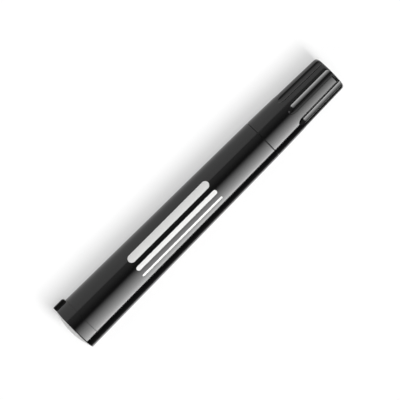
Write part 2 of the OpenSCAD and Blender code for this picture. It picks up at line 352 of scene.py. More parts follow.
def add_object(name, data):
    """Object that shows its data in the scene."""
    made = bpy.data.objects.new(name, data)
    bpy.context.scene.collection.objects.link(made)
    return made


def skin(name, rows, material, loop=False):
    """Mesh object over rows of points; a row of one point is a pole, and loop joins the ends."""
    shape = bmesh.new()
    rings = [[shape.verts.new(point) for point in row] for row in rows]
    pairs = list(zip(rings, rings[1:]))
    if loop:
        pairs.append((rings[-1], rings[0]))
    for near, far in pairs:
        columns = max(len(near), len(far))
        for column in range(columns):
            after = (column + 1) % columns
            corners = [
                near[column % len(near)],
                near[after % len(near)],
                far[after % len(far)],
                far[column % len(far)],
            ]
            shape.faces.new(list(dict.fromkeys(corners)))
    bmesh.ops.recalc_face_normals(shape, faces=shape.faces)
    mesh = bpy.data.meshes.new(name)
    shape.to_mesh(mesh)
    shape.free()
    mesh.shade_smooth()
    mesh.set_sharp_from_angle(angle=SHARP_ANGLE)
    mesh.materials.append(material)
    piece = add_object(name, mesh)
    even = piece.modifiers.new("even_normals", "WEIGHTED_NORMAL")
    even.keep_sharp = True
    return piece


def turned(name, points, material, columns=None, loop=False):
    """Piece turned about the axis from points of (x, radius); loop joins the last to the first."""
    columns = columns or angles(COLUMNS)
    return skin(name, [ring(x, radius, columns) for x, radius in points], material, loop)


def rounded_corner(before, corner, after, radius):
    """Points of an arc that rounds a corner of an outline, or the corner itself."""
    here = Vector(corner)
    back = Vector(before) - here
    ahead = Vector(after) - here
    opening = back.angle(ahead)
    turn = math.pi - opening
    if radius <= 0 or turn < LEAST_TURN:
        return [tuple(here)]
    back.normalize()
    ahead.normalize()
    cut = radius / math.tan(opening / 2)
    middle = here + (back + ahead).normalized() * (radius / math.sin(opening / 2))
    first = here + back * cut - middle
    last = here + ahead * cut - middle
    steps = max(2, math.ceil(turn / CORNER_STEP))
    points = []
    for step in range(steps + 1):
        t = step / steps
        spoke = first * math.sin((1 - t) * turn) + last * math.sin(t * turn)
        points.append(tuple(middle + spoke / math.sin(turn)))
    return points


def outline(corners):
    """Points through corners of (x, radius, rounding); all but the two ends are rounded by an arc."""
    points = [corners[0][:2]]
    for before, corner, after in zip(corners, corners[1:], corners[2:]):
        points.extend(rounded_corner(before[:2], corner[:2], after[:2], corner[2]))
    points.append(corners[-1][:2])
    return points


def arc(x, r, radius, first, last, steps):
    """Points of an arc about (x, r), between angles that count from straight out towards +X."""
    turns = [first] + spaced(first, last, steps)
    return [(x + radius * math.sin(turn), r + radius * math.cos(turn)) for turn in turns]


def bead(middle, width, low, high, rounding):
    """Corners of a bead or groove round the axis, whose flat is a third as wide as its foot."""
    return [
        (middle - width / 2, low, rounding),
        (middle - width / 6, high, rounding),
        (middle + width / 6, high, rounding),
        (middle + width / 2, low, rounding),
    ]


def soft_min(first, second, width):
    """Smaller of two values, with the change between them rounded over a width."""
    blend = min(max(0.5 + 0.5 * (second - first) / width, 0.0), 1.0)
    return second + (first - second) * blend - width * blend * (1 - blend)


def soft_max(first, second, width):
    """Larger of two values, with the change between them rounded over a width."""
    return -soft_min(-first, -second, width)


def off_pattern(angle, features):
    """Angle to the nearest of evenly spaced features, the first of which is at the nub."""
    pitch = 2 * math.pi / features
    return (angle + pitch / 2) % pitch - pitch / 2


def striped(radius, strip_radius, strips, width):
    """Radius as a function of the angle, with another radius on evenly spaced strips."""
    def at(angle):
        off_strip = abs(off_pattern(angle, strips)) * radius
        return strip_radius if off_strip < width / 2 else radius
    return at


def settle(piece, body, node):
    """Lets a piece ride on a body and stand for a node, whose solid it hides."""
    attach(piece, body)
    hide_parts(node)


# Shader nodes


def supply(socket, given):
    """Links an input to another node's output, or sets a constant on it."""
    if isinstance(given, bpy.types.NodeSocket):
        socket.id_data.links.new(given, socket)
    else:
        socket.default_value = given


def feed(node, **given):
    """Supplies a node's inputs, whose names are written with _ for a space."""
    for label, value in given.items():
        supply(node.inputs[label.replace("_", " ")], value)


def add_node(tree, kind, given=None, **settings):
    """Adds a node, makes its settings, then supplies its inputs by their names or places."""
    made = tree.nodes.new(kind)
    for key, value in settings.items():
        setattr(made, key, value)
    for key, value in (given or {}).items():
        supply(made.inputs[key], value)
    return made


def math_node(tree, operation, *operands):
    """Adds a Math node whose operands are numbers or sockets, and gives its output."""
    made = add_node(tree, "ShaderNodeMath", dict(enumerate(operands)), operation=operation)
    return made.outputs[0]


def vector_node(tree, operation, *operands):
    """Adds a Vector Math node whose operands are vectors or sockets, and gives its outputs."""
    made = add_node(tree, "ShaderNodeVectorMath", dict(enumerate(operands)), operation=operation)
    return made.outputs


def split(tree, vector):
    """Parts of a vector, by axis."""
    return add_node(tree, "ShaderNodeSeparateXYZ", {"Vector": vector}).outputs


def diagonal(tree, first, second):
    """Length of a line with two given parts at right angles."""
    squares = [math_node(tree, "MULTIPLY", part, part) for part in (first, second)]
    return math_node(tree, "SQRT", math_node(tree, "ADD", *squares))


def noise(tree, vector, scale, detail=2.0, roughness=0.5):
    """Adds a noise texture, whose scale is a number or a socket, and gives its value."""
    given = {"Vector": vector, "Scale": scale, "Detail": detail, "Roughness": roughness}
    return add_node(tree, "ShaderNodeTexNoise", given).outputs["Fac"]


def ramp(tree, value, low, high, to_low=0.0, to_high=1.0):
    """Value mapped smoothly from one range to another and held at its ends."""
    given = {"Value": value, "From Min": low, "From Max": high, "To Min": to_low, "To Max": to_high}
    made = add_node(tree, "ShaderNodeMapRange", given, interpolation_type="SMOOTHSTEP")
    return made.outputs["Result"]


def tinted(tree, base, factor):
    """Colour multiplied by a factor that changes over the surface."""
    given = {0: base, "Scale": factor}
    return add_node(tree, "ShaderNodeVectorMath", given, operation="SCALE").outputs[0]


def bump(tree, shader, height, strength, distance):
    """Feeds a height into the shader's normal."""
    given = {"Strength": strength, "Distance": distance, "Height": height}
    feed(shader, Normal=add_node(tree, "ShaderNodeBump", given).outputs["Normal"])


def new_group(name, inputs, outputs):
    """Shader node group with its inputs, floats or vectors, and the node for its float outputs."""
    group = bpy.data.node_groups.new(name, "ShaderNodeTree")
    for label, default in inputs.items():
        kind = "NodeSocketFloat" if isinstance(default, float) else "NodeSocketVector"
        socket = group.interface.new_socket(label, in_out="INPUT", socket_type=kind)
        socket.default_value = default
    for label in outputs:
        group.interface.new_socket(label, in_out="OUTPUT", socket_type="NodeSocketFloat")
    return group, group.nodes.new("NodeGroupInput").outputs, group.nodes.new("NodeGroupOutput")


def moulded_grain(name):
    """Group: faint unevenness of a moulded skin, as a height and as a change of roughness."""
    inputs = {"Vector": (0.0, 0.0, 0.0), "Scale": 600.0}
    group, given, end = new_group(name, inputs, ["Height", "Variation"])
    fine_scale = math_node(group, "MULTIPLY", given["Scale"], 6.0)
    fine = noise(group, given["Vector"], fine_scale, 3.0, 0.6)
    broad = noise(group, given["Vector"], given["Scale"], 1.0, 0.4)
    height = math_node(group, "MULTIPLY_ADD", fine, 0.35, broad)
    feed(end, Height=height, Variation=math_node(group, "SUBTRACT", fine, 0.5))
    return group


def handling_marks(name):
    """Group: hairline scratches along the marker and soft smudges, as two masks."""
    inputs = {"Vector": (0.0, 0.0, 0.0), "Amount": 1.0}
    group, given, end = new_group(name, inputs, ["Scratches", "Smudges"])
    lengthwise = vector_node(group, "MULTIPLY", given["Vector"], (90.0, 2600.0, 2600.0))[0]
    hairs = ramp(group, noise(group, lengthwise, 1.0), 0.66, 0.74)
    patches = ramp(group, noise(group, given["Vector"], 140.0), 0.45, 0.7)
    scratches = math_node(group, "MULTIPLY", hairs, patches)
    smudges = ramp(group, noise(group, given["Vector"], 75.0, 4.0, 0.6), 0.52, 0.75)
    feed(end, Scratches=math_node(group, "MULTIPLY", scratches, given["Amount"]),
         Smudges=math_node(group, "MULTIPLY", smudges, given["Amount"]))
    return group


def fibre_strands(name):
    """Group: fibres packed along the marker, as a height and as a shade."""
    inputs = {"Vector": (0.0, 0.0, 0.0), "Scale": 1.0}
    group, given, end = new_group(name, inputs, ["Height", "Shade"])
    lengthwise = vector_node(group, "MULTIPLY", given["Vector"], (700.0, 9000.0, 9000.0))[0]
    strands = noise(group, lengthwise, given["Scale"], 3.0, 0.55)
    blotches = noise(group, given["Vector"], 900.0)
    shade = math_node(group, "MULTIPLY", ramp(group, strands, 0.3, 0.7, 0.6, 1.4),
                      ramp(group, blotches, 0.3, 0.7, 0.8, 1.2))
    feed(end, Height=strands, Shade=shade)
    return group


def printed_stroke(name):
    """Group: mask of one printed stroke with round ends on unrolled barrel coordinates."""
    inputs = {"Along": 0.0, "Across": 0.0, "Middle": 0.0, "Offset": 0.0, "Half Length": 1.0,
              "Half Width": 1.0, "Edge": 0.02 * MM}
    group, given, end = new_group(name, inputs, ["Mask"])
    along = math_node(group, "ABSOLUTE", math_node(group, "SUBTRACT", given["Along"], given["Middle"]))
    straight = math_node(group, "SUBTRACT", given["Half Length"], given["Half Width"])
    past = math_node(group, "MAXIMUM", math_node(group, "SUBTRACT", along, straight), 0.0)
    across = math_node(group, "SUBTRACT", given["Across"], given["Offset"])
    outside = math_node(group, "SUBTRACT", diagonal(group, past, across), given["Half Width"])
    depth = math_node(group, "DIVIDE", outside, given["Edge"])
    feed(end, Mask=ramp(group, depth, 1.0, -1.0))
    return group


GROUPS = {
    "Moulded Grain": moulded_grain,
    "Handling Marks": handling_marks,
    "Fibre Strands": fibre_strands,
    "Printed Stroke": printed_stroke,
}


def place_group(tree, name, **given):
    """Places a shared group, built on its first use, supplies its inputs and gives its outputs."""
    group = bpy.data.node_groups.get(name) or GROUPS[name](name)
    placed = add_node(tree, "ShaderNodeGroup", node_tree=group)
    feed(placed, **given)
    return placed.outputs


# Materials


def new_material(name, **constants):
    """Material with its nodes, its Principled shader, on which constants are set, and the place."""
    material = bpy.data.materials.new(name)
    material.use_nodes = True
    tree = material.node_tree
    shader = tree.nodes["Principled BSDF"]
    feed(shader, **constants)
    return material, tree, shader, add_node(tree, "ShaderNodeTexCoord").outputs["Object"]


def plastic(name, base, roughness, grain, marks, wear, relief, **constants):
    """Moulded plastic; wear says what grain, scratches and smudges add to its roughness and tint."""
    material, tree, shader, place = new_material(name, **constants)
    uneven = place_group(tree, "Moulded Grain", Vector=place, Scale=grain)
    handled = place_group(tree, "Handling Marks", Vector=place, Amount=marks)
    masks = (uneven["Variation"], handled["Scratches"], handled["Smudges"])
    tint = 1.0
    for mask, (to_roughness, to_tint) in zip(masks, wear):
        roughness = math_node(tree, "MULTIPLY_ADD", mask, to_roughness, roughness)
        tint = math_node(tree, "MULTIPLY_ADD", mask, to_tint, tint)
    feed(shader, Roughness=roughness, Base_Color=tinted(tree, base, tint))
    bump(tree, shader, uneven["Height"], relief, 0.02 * MM)
    return material


def black_plastic(name, base, roughness, grain, marks):
    """Black plastic: faint grain in its gloss, and scratches that show paler and duller."""
    wear = ((0.06, 0.0), (0.16, 1.2), (0.05, 0.0))
    return plastic(name, base, roughness, grain, marks, wear, relief=0.06)


def pale_plastic(name, base, roughness, subsurface=0.0):
    """Pale plastic with a satin skin, and scratches that show darker."""
    wear = ((0.15, 0.06), (0.0, -0.12), (0.08, 0.0))
    return plastic(name, base, roughness, grain=900.0, marks=0.6, wear=wear, relief=0.15,
                   Subsurface_Weight=subsurface, Subsurface_Scale=1.0 * MM)


def inked_fibre(name, base, scale):
    """Fibres pressed together along the marker and soaked with ink."""
    material, tree, shader, place = new_material(name)
    strands = place_group(tree, "Fibre Strands", Vector=place, Scale=scale)
    dryness = ramp(tree, strands["Shade"], 0.5, 1.6, 0.62, 0.8)
    feed(shader, Roughness=dryness, Base_Color=tinted(tree, base, strands["Shade"]))
    bump(tree, shader, strands["Height"], 0.6, 0.08 * MM)
    return material


def unrolled(tree, place):
    """Place along the marker, and distance round it from the side that shows towards the nub."""
    centred = vector_node(tree, "SUBTRACT", place, (0.0, 0.0, AXIS_Z))[0]
    to_nub, to_front = [
        vector_node(tree, "DOT_PRODUCT", centred, direction)["Value"] for direction in (NUB, FRONT)
    ]
    turn = math_node(tree, "ARCTAN2", to_nub, to_front)
    return split(tree, place)["X"], math_node(tree, "MULTIPLY", turn, diagonal(tree, to_nub, to_front))


def stroke_masks(tree, layout, along, across):
    """Masks of the printed strokes, side by side from broad to fine."""
    widths = (layout.broad, layout.medium, layout.fine)
    offset = (sum(widths) + layout.gap * (len(widths) - 1)) / 2
    masks = []
    for width in widths:
        offset -= width / 2
        stroke = place_group(tree, "Printed Stroke", Along=along, Across=across, Middle=layout.middle,
                             Offset=offset, Half_Length=layout.stroke_length / 2, Half_Width=width / 2)
        masks.append(stroke["Mask"])
        offset -= width / 2 + layout.gap
    return masks


def add_print(material, finish, layout):
    """Adds the printed strokes to the barrel's material, over its plastic."""
    tree = material.node_tree
    shader = tree.nodes["Principled BSDF"]
    place = add_node(tree, "ShaderNodeTexCoord").outputs["Object"]
    along, across = unrolled(tree, place)
    uneven = math_node(tree, "SUBTRACT", noise(tree, place, 5000.0), 0.5)
    across = math_node(tree, "MULTIPLY_ADD", uneven, layout.ragged, across)
    printed = 0.0
    for mask in stroke_masks(tree, layout, along, across):
        printed = math_node(tree, "MAXIMUM", printed, mask)
    speckle = ramp(tree, noise(tree, place, 9000.0, 3.0, 0.6), 0.2, 0.8, 0.93, 1.04)
    layers = {
        "Factor": printed,
        "A": shader.inputs["Base Color"].links[0].from_socket,
        "B": tinted(tree, finish.white_ink, speckle),
    }
    colours = add_node(tree, "ShaderNodeMix", layers, data_type="VECTOR")
    gloss = shader.inputs["Roughness"].links[0].from_socket
    feed(shader, Base_Color=colours.outputs["Result"],
         Roughness=math_node(tree, "MULTIPLY_ADD", printed, 0.28, gloss))


# Operators


class MARKER_OT_build_barrel(bpy.types.Operator):
    """Builds the barrel with its neck, bead and ribs, and prints the strokes on it"""

    bl_idname = "marker.build_barrel"
    bl_label = "Barrel"

    def execute(self, context):
        sizes = context.scene.marker_body
        finish = context.scene.marker_finish
        material = black_plastic("barrel_black", finish.black, finish.gloss, grain=420.0, marks=1.0)
        add_print(material, finish, context.scene.marker_print)
        seam = X_MOUTH - sizes.seam_gap
        front_r = radii("barrel", seam)[1]
        shoulder = X_MOUTH - sizes.fit
        bead_r = NECK_R + sizes.bead_height
        points = outline([
            (X_TAIL_SEAM, SEAT_R, 0),
            (X_TAIL_SEAM, REAR_R, sizes.seam_edge),
            (seam, front_r, sizes.mouth_edge),
            (shoulder, front_r - sizes.seam_depth, 0),
            (shoulder, NECK_R, sizes.edge / 2),
            *bead(seam + sizes.bead_at, sizes.bead_width, NECK_R, bead_r, sizes.bead_width / 4),
            (X_NECK_END, NECK_R, sizes.edge),
            (X_NECK_END, NECK_BORE_R, sizes.edge / 2),
            (X_SHOULDER, NECK_BORE_R, 0),
        ])
        taper = (REAR_R - front_r) / (seam - X_TAIL_SEAM)
        for x in (X_SHOULDER, X_STEM_END):
            bore = front_r + taper * (seam - x) - sizes.wall
            points.append((x, striped(bore, WRAP_R + sizes.fit, sizes.rib_count, sizes.rib_width)))
        points.append((X_STEM_END, SEAT_R))
        settle(turned("barrel_tube", points, material, loop=True), "barrel", "barrel")
        return {"FINISHED"}


class MARKER_OT_build_tail(bpy.types.Operator):
    """Builds the tail plug with its nub, and the domed disc in its end"""

    bl_idname = "marker.build_tail"
    bl_label = "Tail plug and disc"

    def execute(self, context):
        sizes = context.scene.marker_body
        finish = context.scene.marker_finish
        self.build_plug(sizes, finish)
        self.build_disc(sizes, finish)
        return {"FINISHED"}

    def build_plug(self, sizes, finish):
        """Plug: seat of the disc, outer band with the nub, and hollow stem."""
        seat_r = DISC_R + sizes.fit
        floor = X_DISC_BACK + sizes.plug_floor
        taper = (RIM_R - REAR_R) / (X_TAIL_SEAM - X_RIM)
        cone = spaced(X_RIM + sizes.rim_edge, X_TAIL_SEAM - sizes.seam_edge, BAND_ROWS)[:-1]
        band = outline([
            (X_RIM, seat_r, 0),
            (X_RIM, RIM_R, sizes.rim_edge),
            *[(x, RIM_R - taper * (x - X_RIM), 0) for x in cone],
            (X_TAIL_SEAM, REAR_R, sizes.seam_edge),
            (X_TAIL_SEAM, STEM_R, 0),
        ])[1:-1]
        stem = outline([
            (X_TAIL_SEAM, STEM_R, 0),
            (X_STEM_END, STEM_R, sizes.edge),
            (X_STEM_END, STEM_BORE_R, sizes.edge / 2),
            (floor, STEM_BORE_R, 0),
            (floor, 0, 0),
        ])
        points = [(X_DISC_BACK, 0), (X_DISC_BACK, seat_r), (X_RIM, seat_r)]
        points += [(x, self.with_nub(sizes, x, radius)) for x, radius in band]
        material = black_plastic("tail_black", finish.black, finish.gloss, grain=500.0, marks=1.2)
        plug = turned("tail_plug_nub", points + stem, material, self.columns())
        settle(plug, "barrel", "tail_plug")

    def columns(self):
        """Angles of the plug's columns: fine across the nub, coarser round the rest."""
        fine = round(NUB_REACH / NUB_STEP)
        across = [step * NUB_STEP for step in range(-fine, fine)]
        rest = spaced(NUB_REACH, 2 * math.pi - NUB_REACH, REST_COLUMNS)[:-1]
        return across + [NUB_REACH] + rest

    def nub_top(self, sizes, x):
        """Distance from the axis to the nub's top at x: a rounded back, a flat, a ramp and a front."""
        top = RIM_R + sizes.nub_height
        from_back = x - X_RIM
        if from_back < sizes.nub_back:
            rise = 1 - (1 - from_back / sizes.nub_back) ** 2
            return top - sizes.nub_back + sizes.nub_back * math.sqrt(max(rise, 0.0))
        down = max(1 + (from_back - sizes.nub_length) / sizes.nub_ramp, 0.0)
        loss = sizes.ramp_loss * min(down, 1.0) ** 2 + sizes.front_loss * max(down - 1.0, 0.0)
        return top - sizes.nub_height * loss

    def with_nub(self, sizes, x, band):
        """Radius of the outer band at x as a function of the angle, the nub included."""
        top = self.nub_top(sizes, x)
        side = sizes.nub_width / 2
        corner = Vector((top - sizes.nub_round, side - sizes.nub_round))

        def radius(angle):
            ray = Vector((math.cos(angle), abs(math.sin(angle))))
            if ray.x < math.cos(NUB_REACH):
                return band
            if ray.y * top < corner.y * ray.x:
                reach = top / ray.x
            elif ray.x * side < corner.x * ray.y:
                reach = side / ray.y
            else:
                along = ray.dot(corner)
                within = sizes.nub_round ** 2 - corner.length_squared + along ** 2
                reach = along + math.sqrt(max(within, 0.0))
            return soft_max(band, reach, sizes.nub_foot)
        return radius

    def build_disc(self, sizes, finish):
        """Disc: a dome of part of a sphere with a rounded edge."""
        height = X_RIM - X_APEX
        dome_r = (DISC_R ** 2 + height ** 2) / (2 * height)
        reach = math.asin(DISC_R / dome_r)
        apex = -math.pi / 2
        dome = arc(X_APEX + dome_r, 0.0, dome_r, apex, apex + reach, DOME_STEPS)[1:-1]
        rim = outline([
            (*dome[-1], 0),
            (X_RIM, DISC_R, sizes.edge / 2),
            (X_DISC_BACK, DISC_R, sizes.edge / 2),
            (X_DISC_BACK, 0, 0),
        ])[1:]
        material = pale_plastic("disc_grey", finish.pale, roughness=0.34)
        disc = turned("tail_disc_dome", [(X_APEX, 0)] + dome + rim, material)
        settle(disc, "barrel", "tail_disc")


class MARKER_OT_build_reservoir(bpy.types.Operator):
    """Builds the ink reservoir inside the barrel: a fibre bundle in its film"""

    bl_idname = "marker.build_reservoir"
    bl_label = "Reservoir"

    def execute(self, context):
        sizes = context.scene.marker_body
        finish = context.scene.marker_finish
        socket = X_NIB_TAIL - sizes.fit
        socket_r = NIB_R + sizes.fit
        core = outline([
            (X_STEM_END, 0, 0),
            (X_STEM_END, CORE_R, sizes.edge),
            (X_SHOULDER, CORE_R, sizes.edge),
            (X_SHOULDER, socket_r, sizes.edge),
            (socket, socket_r, 0),
            (socket, 0, 0),
        ])
        wrap = [
            (X_STEM_END, WRAP_R),
            (X_SHOULDER, WRAP_R),
            (X_SHOULDER, FILM_BORE_R),
            (X_STEM_END, FILM_BORE_R),
        ]
        fibre = inked_fibre("core_fibre", finish.ink, scale=0.5)
        bundle = turned("reservoir_fibre", core, fibre)
        settle(bundle, "barrel", "reservoir_core")
        film = pale_plastic("wrap_film", finish.film, roughness=0.2)
        sleeve = turned("reservoir_film", wrap, film, loop=True)
        settle(sleeve, "barrel", "reservoir_wrap")
        return {"FINISHED"}


class MARKER_OT_build_front(bpy.types.Operator):
    """Builds the front section with its tapered nose and air grooves, and the bullet nib"""

    bl_idname = "marker.build_front"
    bl_label = "Front section and nib"

    def execute(self, context):
        sizes = context.scene.marker_front
        body = context.scene.marker_body
        finish = context.scene.marker_finish
        self.build_section(sizes, body, finish)
        self.build_nib(sizes, body, finish)
        return {"FINISHED"}

    def build_section(self, sizes, body, finish):
        """Section: hollow spigot, flange, seal land and nose, with the nib's grooved bore."""
        flange_end = X_NECK_END + sizes.flange
        flange_r = NECK_BORE_R + sizes.flange_lip
        seal_end = flange_end + sizes.seal_length
        root_r = NOSE_R + sizes.nose_flare
        seal_r = root_r + sizes.seal_step
        bore_r = NIB_R + body.fit
        points = outline([
            (X_SPIGOT, SPIGOT_BORE_R, 0),
            (X_SPIGOT, SPIGOT_R, body.edge),
            (X_NECK_END, SPIGOT_R, 0),
            (X_NECK_END, flange_r, 0),
            (flange_end, flange_r, body.edge),
            (flange_end, seal_r, body.edge),
            (seal_end, seal_r, body.edge),
            (seal_end, root_r, body.edge / 2),
            (X_NOSE, NOSE_R, body.edge),
            (X_NOSE, bore_r, 0),
        ])[:-1]
        vented = striped(bore_r, bore_r + sizes.vent_depth, sizes.vent_count, sizes.vent_width)
        points += [(X_NOSE, vented), (X_NECK_END, vented), (X_NECK_END, SPIGOT_BORE_R)]
        material = black_plastic("section_black", finish.satin, 0.32, grain=700.0, marks=0.8)
        section = turned("front_section_nose", points, material, loop=True)
        settle(section, "barrel", "front_section")

    def build_nib(self, sizes, body, finish):
        """Nib: a fibre rod with a cone that runs into a round point."""
        cone = X_NOSE + sizes.nib_straight
        centre = X_TIP - sizes.nib_point
        reach = math.hypot(NIB_R, centre - cone)
        slope = math.acos(sizes.nib_point / reach) - math.atan2(centre - cone, NIB_R)
        point = arc(centre, 0.0, sizes.nib_point, slope, math.pi / 2, POINT_STEPS)[:-1]
        rod = outline([
            (X_NIB_TAIL, 0, 0),
            (X_NIB_TAIL, NIB_R, body.edge),
            (cone, NIB_R, sizes.nib_shoulder),
            (*point[0], 0),
        ])[:-1]
        material = inked_fibre("nib_felt", finish.ink, scale=1.0)
        nib = turned("nib_bullet", rod + point + [(X_TIP, 0)], material, angles(NIB_COLUMNS))
        settle(nib, "barrel", "nib")


class MARKER_OT_build_inner_cap(bpy.types.Operator):
    """Builds the milky liner that seals over the nib inside the cap"""

    bl_idname = "marker.build_inner_cap"
    bl_label = "Inner cap"

    def execute(self, context):
        sizes = context.scene.marker_front
        edge = context.scene.marker_body.edge
        seal_end = X_NECK_END + sizes.flange + sizes.seal_length + 2 * sizes.play
        hollow_r = NOSE_R + sizes.nose_flare + 2 * sizes.run_gap
        hollow_end = X_INNER_END - sizes.inner_end
        shoulder = X_LIP + sizes.inner_flange
        points = outline([
            (hollow_end, 0, 0),
            (hollow_end, hollow_r, edge),
            (seal_end, hollow_r, edge / 2),
            (seal_end, SEAL_BORE_R, edge / 2),
            (X_LIP, SEAL_BORE_R, edge),
            (X_LIP, INNER_FLANGE_R, edge / 2),
            (shoulder, INNER_FLANGE_R, edge / 2),
            (shoulder, INNER_R, edge / 2),
            (X_INNER_END, INNER_R, edge),
            (X_INNER_END, 0, 0),
        ])
        milky = context.scene.marker_finish.milky
        material = pale_plastic("inner_natural", milky, roughness=0.38, subsurface=0.25)
        settle(turned("inner_cap_liner", points, material), "inner_cap", "inner_cap")
        return {"FINISHED"}


class MARKER_OT_build_cap(bpy.types.Operator):
    """Builds the cap with its soft-edged flutes, rounded crown and inside steps"""

    bl_idname = "marker.build_cap"
    bl_label = "Cap"

    def execute(self, context):
        sizes = context.scene.marker_cap
        finish = context.scene.marker_finish
        start = X_CROWN - sizes.flute_length
        least = LEAST_SPREAD * self.edge_angle(sizes, start, self.land_radius(sizes, start))
        rows = [ring(X_CROWN, 0, [])]
        for x, land in self.outside(sizes, context.scene.marker_body):
            columns = self.columns(sizes, max(self.edge_angle(sizes, x, land), least))
            rows.append(ring(x, self.fluted(sizes, x, land), columns))
        # The inside goes on with the columns of the mouth, the last row of the outside
        for x, radius in self.inside(sizes, context.scene.marker_front, context.scene.marker_body):
            rows.append(ring(x, radius, columns))
        material = black_plastic("cap_black", finish.black, finish.gloss, grain=460.0, marks=1.2)
        settle(skin("cap_fluted", rows, material), "cap", "cap")
        return {"FINISHED"}

    def taper(self, sizes):
        """Loss of radius along the cap's cone, per unit of length."""
        return (MOUTH_R - sizes.crown_radius) / (X_CROWN - X_MOUTH)

    def land_radius(self, sizes, x):
        """Radius of the cap's cone between the flutes."""
        return MOUTH_R - self.taper(sizes) * (x - X_MOUTH)

    def outside(self, sizes, body):
        """Rows of the outside from the crown back to the mouth, as places and land radii."""
        slope = math.atan(self.taper(sizes))
        fillet = sizes.crown_fillet
        fillet_x = X_CROWN - fillet
        fillet_r = self.land_radius(sizes, fillet_x) - fillet / math.cos(slope)
        rows = [(X_CROWN, radius) for radius in spaced(0.0, fillet_r, CROWN_RINGS)[:-1]]
        rows += arc(fillet_x, fillet_r, fillet, math.pi / 2, slope, FILLET_STEPS)
        full_depth = X_CROWN - sizes.flute_length
        floor_bend = sizes.flute_bend + sizes.flute_radius
        run_out = math.sqrt(floor_bend ** 2 - (floor_bend - sizes.flute_depth) ** 2)
        tips = full_depth - RUN_OUT_COVER * run_out
        mouth = X_MOUTH + body.edge
        for stop, steps in ((full_depth, FLUTE_ROWS), (tips, RUN_OUT_ROWS), (mouth, PLAIN_ROWS)):
            rows += [(x, self.land_radius(sizes, x)) for x in spaced(rows[-1][0], stop, steps)]
        edge = outline([
            (X_MOUTH + 2 * body.edge, self.land_radius(sizes, X_MOUTH + 2 * body.edge), 0),
            (X_MOUTH, MOUTH_R, body.mouth_edge),
            (X_MOUTH, MOUTH_R - 3 * body.edge, 0),
        ])[1:-1]
        return rows[:-1] + edge

    def columns(self, sizes, edge):
        """Angles of a row's columns, crowded where the edges of the flutes are."""
        half = math.pi / sizes.flute_count
        across = [math.sin(math.pi * (step / FLUTE_COLUMNS - 0.5)) for step in range(FLUTE_COLUMNS)]
        beside = [1 - math.cos(math.pi / 2 * step / LAND_COLUMNS) for step in range(LAND_COLUMNS + 1)]
        pattern = [-edge - (half - edge) * part for part in reversed(beside[1:])]
        pattern += [edge * part for part in across]
        pattern += [edge + (half - edge) * part for part in beside[:-1]]
        return [2 * half * flute + angle for flute in range(sizes.flute_count) for angle in pattern]

    def edge_angle(self, sizes, x, land):
        """Angle from a flute's middle to its edge at x, which is 0 where there is no flute."""
        floor = self.hollow(sizes, x, land)
        low, high = 0.0, math.pi / sizes.flute_count
        if floor(low) >= land:
            return low
        for _ in range(EDGE_TRIES):
            middle = (low + high) / 2
            if floor(middle) < land:
                low = middle
            else:
                high = middle
        return low

    def hollow(self, sizes, x, land):
        """Radius of a flute's hollow at x as a function of the angle from the flute's middle."""
        radius = sizes.flute_radius
        start = X_CROWN - sizes.flute_length
        axis_r = self.land_radius(sizes, start) + radius - sizes.flute_depth
        axis_r -= self.taper(sizes) * max(x - start, 0.0)
        before = max(start - x, 0.0)
        bend = sizes.flute_bend

        def floor(angle):
            guess = land
            for _ in range(FLOOR_TRIES):
                across = abs(guess * math.sin(angle))
                if across >= radius:
                    return axis_r + across - radius
                half = math.sqrt(radius ** 2 - across ** 2)
                sweep = (bend + half) ** 2 - before ** 2
                if sweep <= 0:
                    return axis_r + bend
                guess = (axis_r + bend - math.sqrt(sweep)) / math.cos(angle)
            return guess
        return floor

    def fluted(self, sizes, x, land):
        """Radius of the outside at x as a function of the angle, the flutes included."""
        floor = self.hollow(sizes, x, land)

        def outer(angle):
            return soft_min(land, floor(off_pattern(angle, sizes.flute_count)), sizes.flute_soft)
        return outer

    def inside(self, sizes, front, body):
        """Outline of the inside from the mouth to the end wall, as places and radii."""
        groove_at = X_MOUTH - body.seam_gap + body.bead_at
        groove = body.bead_width + 2 * front.play
        bore = NECK_R + body.bead_height + front.run_gap
        trap_r = NECK_BORE_R + front.flange_lip + 4 * front.run_gap
        pocket = X_LIP - front.play
        pocket_r = trap_r + sizes.trap_lip + front.run_gap
        socket = X_LIP + front.inner_flange + front.play
        socket_r = INNER_R + front.run_gap
        end = X_CROWN - sizes.crown
        return outline([
            (X_MOUTH, MOUTH_R, 0),
            (X_MOUTH, bore, body.edge),
            *bead(groove_at, groove, bore, bore + body.bead_height, groove / 6),
            (X_NECK_END + front.play, bore, 0),
            (X_NECK_END + 3 * front.play, trap_r, body.edge / 2),
            (pocket, trap_r, body.edge / 2),
            (pocket, pocket_r, 0),
            (socket, pocket_r, 0),
            (socket, socket_r, body.edge / 2),
            (end, socket_r, body.edge),
            (end, 0, 0),
        ])[1:]


